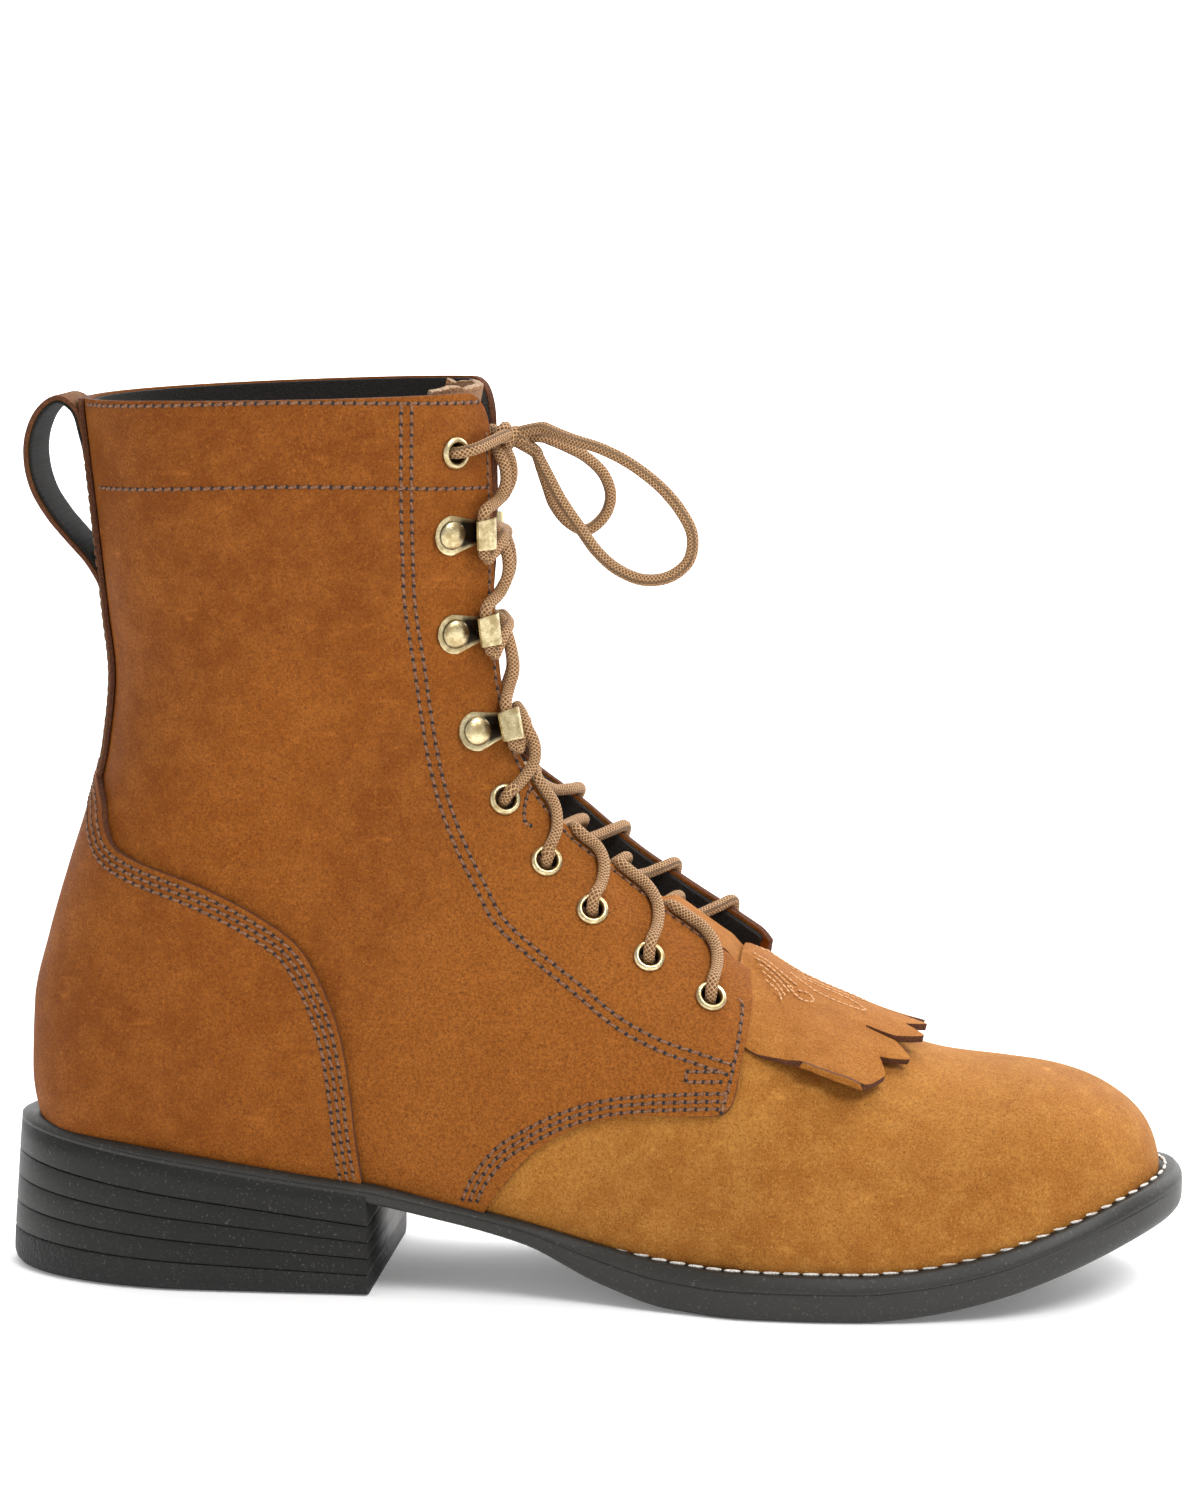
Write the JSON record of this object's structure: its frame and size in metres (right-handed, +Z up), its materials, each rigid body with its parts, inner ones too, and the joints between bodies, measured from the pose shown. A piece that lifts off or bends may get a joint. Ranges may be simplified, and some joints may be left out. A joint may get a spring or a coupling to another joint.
{
  "type": "lace-up boot",
  "caption": "Right tan leather lace-up ankle boot with a black rubber sole and stacked heel, speed hooks, fringed kiltie, tied bow and a pull loop at the back.",
  "frame": {"origin": "centre of the footprint on the floor: middle of the sole's length and width, at the underside of the heel and forefoot", "axes": "+X to the toe, +Y to the inner (medial) side of the right foot, +Z up; millimetres in the source, metres in the row"},
  "size_m": [0.3077, 0.1075, 0.2323],
  "materials": {
    "nubuck": "waxed nubuck, matte",
    "strap_leather": "waxed nubuck, matte",
    "kiltie_leather": "waxed nubuck, matte",
    "tongue_leather": "suede",
    "lining": "dark lining",
    "sole_rubber": "matte black",
    "top_lift_rubber": "matte black, stippled",
    "antique_brass": "aged satin",
    "lace_cord": "flat woven cord, light tan"
  },
  "bodies": {
    "root": {"outsole": "sole_rubber", "welt": "sole_rubber", "heel_lift_1": "sole_rubber", "heel_lift_2": "sole_rubber", "heel_lift_3": "sole_rubber", "top_lift": "top_lift_rubber", "insole": "lining", "upper": "nubuck", "counter": "nubuck", "backstrap": "strap_leather", "pull_loop": "strap_leather", "tongue": "tongue_leather", "kiltie": "kiltie_leather", "lace_crossings": "lace_cord", "lace_knot": "lace_cord", "lace_loop_long": "lace_cord", "lace_loop_short": "lace_cord", "lateral_eyelet_1": "antique_brass", "lateral_hook_2": "antique_brass", "lateral_hook_3": "antique_brass", "lateral_hook_4": "antique_brass", "lateral_eyelet_5": "antique_brass", "lateral_eyelet_6": "antique_brass", "lateral_eyelet_7": "antique_brass", "lateral_eyelet_8": "antique_brass", "lateral_eyelet_9": "antique_brass", "medial_eyelet_1": "antique_brass", "medial_hook_2": "antique_brass", "medial_hook_3": "antique_brass", "medial_hook_4": "antique_brass", "medial_eyelet_5": "antique_brass", "medial_eyelet_6": "antique_brass", "medial_eyelet_7": "antique_brass", "medial_eyelet_8": "antique_brass", "medial_eyelet_9": "antique_brass"}
  },
  "joints": []
}
